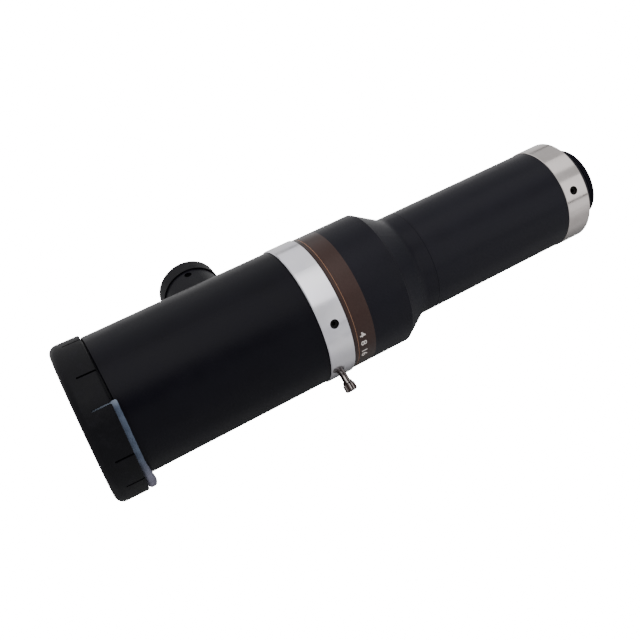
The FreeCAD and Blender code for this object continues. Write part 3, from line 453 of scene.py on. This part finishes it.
def foam_strip():
    """The foam in the front cap. It bunches up and swells over the cap's rim at the lower side."""
    first, last, outer = 22.4, 206.0, 24.55
    front, rear, rim = -183.78, -174.45, -176.1
    slits, slit_half = (0.5, 15.93), 0.34
    along_side = (0.0, 0.3, 0.6, 0.78, 0.82, 0.86, 0.90, 0.94, 0.98)
    round_end = [math.radians(30 * k) for k in range(7)]
    columns = 240
    points, faces = [], []
    for column in range(columns + 1):
        angle = first + (last - first) * column / columns
        arc = math.radians(angle - first) * outer
        to_end = math.radians(last - angle) * outer
        rounding = clamp(1 - to_end / 2.4)
        corner = clamp(1 - arc / 0.5)
        bulge = smooth(clamp((angle - 55) / 45) * clamp((165 - angle) / 40))
        lowest = smooth(clamp(1 - abs(angle - 103) / 26))
        ragged = noise.noise(Vector((arc * 0.5, 3.1, 0)))
        ragged += 0.5 * noise.noise(Vector((arc * 2.0, 7.7, 0)))
        reach = rear + 0.55 * bulge + 0.75 * lowest + (0.10 + 0.22 * bulge) * ragged
        reach -= 2.4 * (1 - math.sqrt(1 - rounding ** 2)) + 0.3 * corner ** 2
        pinch = abs(noise.noise(Vector((arc * 0.7, 1.3, 5.0))))
        thick = (0.9 + 1.3 * bulge) * (1.0 - 0.10 * pinch - 0.5 * rounding ** 2)
        end = 0.4 * thick
        middle = reach - front - 2 * end
        outline = [(front + end + middle * t, 0.0) for t in along_side]
        outline += [(reach - end + end * math.sin(a), thick * (1 - math.cos(a)) / 2)
                    for a in round_end]
        outline += [(front + end + middle * t, thick) for t in reversed(along_side)]
        outline += [(front + end - end * math.sin(a), thick * (1 + math.cos(a)) / 2)
                    for a in round_end]
        in_slit = max(clamp(1 - abs(arc - slit) / slit_half) for slit in slits)
        for station, inset in outline:
            swell = 1.15 * bulge * clamp((station - rim) / 0.8) ** 0.5
            if station <= rim:
                swell += 0.8 * clamp(2 * in_slit) * clamp((station - rim + 5.6) / 2)
            radius = outer - inset + swell * (1 - inset / thick)
            points.append(set_askew(Vector((station, 0, 0)) + spoke(angle) * radius))
    ring = len(outline)
    for column in range(columns):
        for k in range(ring):
            nxt = (k + 1) % ring
            a, b = column * ring, (column + 1) * ring
            faces.append((a + k, b + k, b + nxt, a + nxt))
    faces.append(tuple(range(ring)))
    faces.append(tuple(columns * ring + k for k in reversed(range(ring))))
    add_piece("foam_strip", points, faces, FINISHES["packing_foam"], "front_cap", "packing_foam",
              "cap_packing_strip")


def aperture_scale():
    """Plain aperture numbers painted on the brown ring, each a flat sheet laid on its surface."""
    station, radius, height, widen = -99.2, 23.275, 2.1, 1.4
    paint = scale_paint()
    for word, middle in (("4", 67.0), ("8", 75.5), ("16", 87.0)):
        lettering = bpy.data.curves.new("scale_" + word, "FONT")
        lettering.body = word
        lettering.size = height / 0.73
        lettering.align_x = "CENTER"
        lettering.resolution_u = 8
        lettering.offset = 0.04
        sketch = bpy.data.objects.new("scale_" + word, lettering)
        bpy.context.scene.collection.objects.link(sketch)
        bpy.context.view_layer.update()
        flat = sketch.to_mesh()
        points = []
        for vertex in flat.vertices:
            angle = middle + math.degrees(vertex.co.x * widen / radius)
            points.append(Vector((station - height / 2 + vertex.co.y, 0, 0)) + spoke(angle) * radius)
        faces = [tuple(face.vertices) for face in flat.polygons]
        sketch.to_mesh_clear()
        bpy.data.objects.remove(sketch)
        add_piece("aperture_number_" + word, points, faces, paint, "barrel", "brown_anodised_ring")


camera_mount()
knurled_lock_screw()
foam_strip()
aperture_scale()


# Stage


def stage_sheet(name, corners, faces=((0, 1, 2, 3),)):
    """A flat sheet, or a box of sheets, of the stage, from its corners in millimetres."""
    mesh = bpy.data.meshes.new(name)
    mesh.from_pydata([Vector(corner) * MM for corner in corners], [], faces)
    sheet = bpy.data.objects.new(name, mesh)
    bpy.context.scene.collection.objects.link(sheet)
    finish = Finish(name, Specular_IOR_Level=0.0, Roughness=1.0)
    mesh.materials.append(finish.material)
    return sheet, finish


def resting_plane():
    """The plane the lens lies on: through front cap, port cap and iris ring, under every vertex."""
    front = Vector((-176.72, -1.19, -26.62))
    port = Vector((-133.2, 34.8, -24.43))
    ring = Vector((-102.97, 0.31, -23.63))
    up = (ring - front).cross(port - front).normalized()
    lens = [piece for piece in bpy.context.scene.objects if piece.type == "MESH"]
    drop = min((piece.matrix_world @ vertex.co / MM - front).dot(up)
               for piece in lens for vertex in piece.data.vertices)
    return front + up * drop, up


def lay_table():
    """A table, out of the picture, glowing on the far side of the lens; on the near side it is painted
    darker as shade, darkest close beside the lens.
    """
    middle, up = resting_plane()
    side = up.cross(Vector((0, 1, 0))).normalized()
    away = up.cross(side)
    corners = [middle + (side * a + away * b) * STAGE_REACH
               for a, b in ((-1, -1), (1, -1), (1, 1), (-1, 1))]
    table, paper = stage_sheet("pale_table", corners)
    table.visible_camera = False
    beside = paper.side()
    # Painted shade: the table darkens towards the lens on its near side and is darkest close beside
    # it, where the lens shades it.
    painted_light_and_shade = paper.blend(paper.ramp(beside, -150.0, -45.0), (0.76, 0.76, 0.76), (0.50, 0.50, 0.50))
    paper.paint(paper.blend(paper.ramp(beside, -40.0, -18.0), painted_light_and_shade, (0.25, 0.25, 0.25)))
    glow = paper.ramp(beside, 20.0, 60.0) - paper.ramp(beside, 150.0, 500.0)
    paper.feed(paper.shader.inputs["Emission Color"],
               paper.blend(glow, (0.0, 0.0, 0.0), (1.0, 1.0, 1.0)))
    paper.shader.inputs["Emission Strength"].default_value = 0.7


def white_surroundings():
    """The plain white that the picture shows all round the lens. Only the camera sees it."""
    ends = (-STAGE_REACH, STAGE_REACH)
    corners = [(x, y, z) for x in ends for y in ends for z in ends]
    faces = [(0, 1, 3, 2), (4, 5, 7, 6), (0, 1, 5, 4), (2, 3, 7, 6), (0, 2, 6, 4), (1, 3, 7, 5)]
    white, sheet = stage_sheet("white_surroundings", corners, faces)
    sheet.paint(sheet.blend(sheet.grain(400.0), (0.89, 0.89, 0.89), (0.91, 0.91, 0.91)))
    sheet.shader.inputs["Emission Color"].default_value = (1.0, 1.0, 1.0, 1.0)
    sheet.shader.inputs["Emission Strength"].default_value = 16.0
    for ray in ("diffuse", "glossy", "transmission", "shadow", "volume_scatter"):
        setattr(white, "visible_" + ray, False)


def soft_panel(name, place, target, width, height, radiance):
    """A rectangular softbox that faces a point, both in millimetres."""
    lamp = bpy.data.lights.new(name, "AREA")
    lamp.shape = "RECTANGLE"
    lamp.size, lamp.size_y = width * MM, height * MM
    lamp.energy = radiance * math.pi * width * height * MM * MM
    panel = bpy.data.objects.new(name, lamp)
    panel.location = Vector(place) * MM
    panel.rotation_euler = (Vector(target) - Vector(place)).to_track_quat("-Z", "Y").to_euler()
    bpy.context.scene.collection.objects.link(panel)


def dark_card(name, angle, away, start, end, width):
    """A black card across the light: it gives the barrels and the rear ring their dark streaks."""
    along = spoke(angle + 90) * (width / 2)
    middle = spoke(angle) * away
    corners = [middle + Vector((x, 0, 0)) + along * k
               for x, k in ((start, -1), (end, -1), (end, 1), (start, 1))]
    card, finish = stage_sheet(name, corners)
    card.visible_camera = False
    finish.paint(finish.blend(finish.grain(90.0), (0.004, 0.004, 0.004), (0.008, 0.008, 0.008)))


def light_studio():
    """Softboxes above, behind and round the rear end, and two cards for the dark streaks."""
    world = bpy.data.worlds.new("studio_room")
    world.use_nodes = True
    backdrop = world.node_tree.nodes["Background"]
    backdrop.inputs["Color"].default_value = (0.98, 0.99, 1.0, 1.0)
    backdrop.inputs["Strength"].default_value = 0.92
    bpy.context.scene.world = world
    dark_card("barrel_dark_card", 35, 620, -420, 10, 330)
    dark_card("rear_ring_dark_card", 69, 430, 40, 380, 26)
    soft_panel("overhead_softbox", (-260, 0, 800), (-260, 0, 0), 880, 860, 2.0)
    around_rear = (
        ("rear_top_softbox", -21, 800, 445, 510, 520, 1.0),
        ("rear_side_softbox", 43.5, 450, 220, 330, 385, 1.15),
        ("rear_low_softbox", 84, 450, 220, 330, 190, 0.6),
    )
    for name, angle, away, station, width, height, radiance in around_rear:
        centre = Vector((station, 0, 0))
        soft_panel(name, centre + spoke(angle) * away, centre, width, height, radiance)
    soft_panel("rear_softbox", (-310, 738, 376), (-310, 0, 0), 1000, 1000, 0.6)


def place_camera():
    data = bpy.data.cameras.new("photo_camera")
    data.sensor_width = 36.0
    data.lens = 47.46
    data.clip_start = 0.01
    camera = bpy.data.objects.new("photo_camera", data)
    place = Vector((-181.50, -134.65, 231.04)) * MM
    forward = Vector((0.2776, 0.4703, -0.8377)).normalized()
    up = Vector((0.4259, 0.7214, 0.5461))
    right = forward.cross(up).normalized()
    up = right.cross(forward)
    turn_to_view = Matrix((right, up, -forward)).transposed()
    camera.matrix_world = Matrix.Translation(place) @ turn_to_view.to_4x4()
    bpy.context.scene.collection.objects.link(camera)
    bpy.context.scene.camera = camera


lay_table()
white_surroundings()
light_studio()
place_camera()
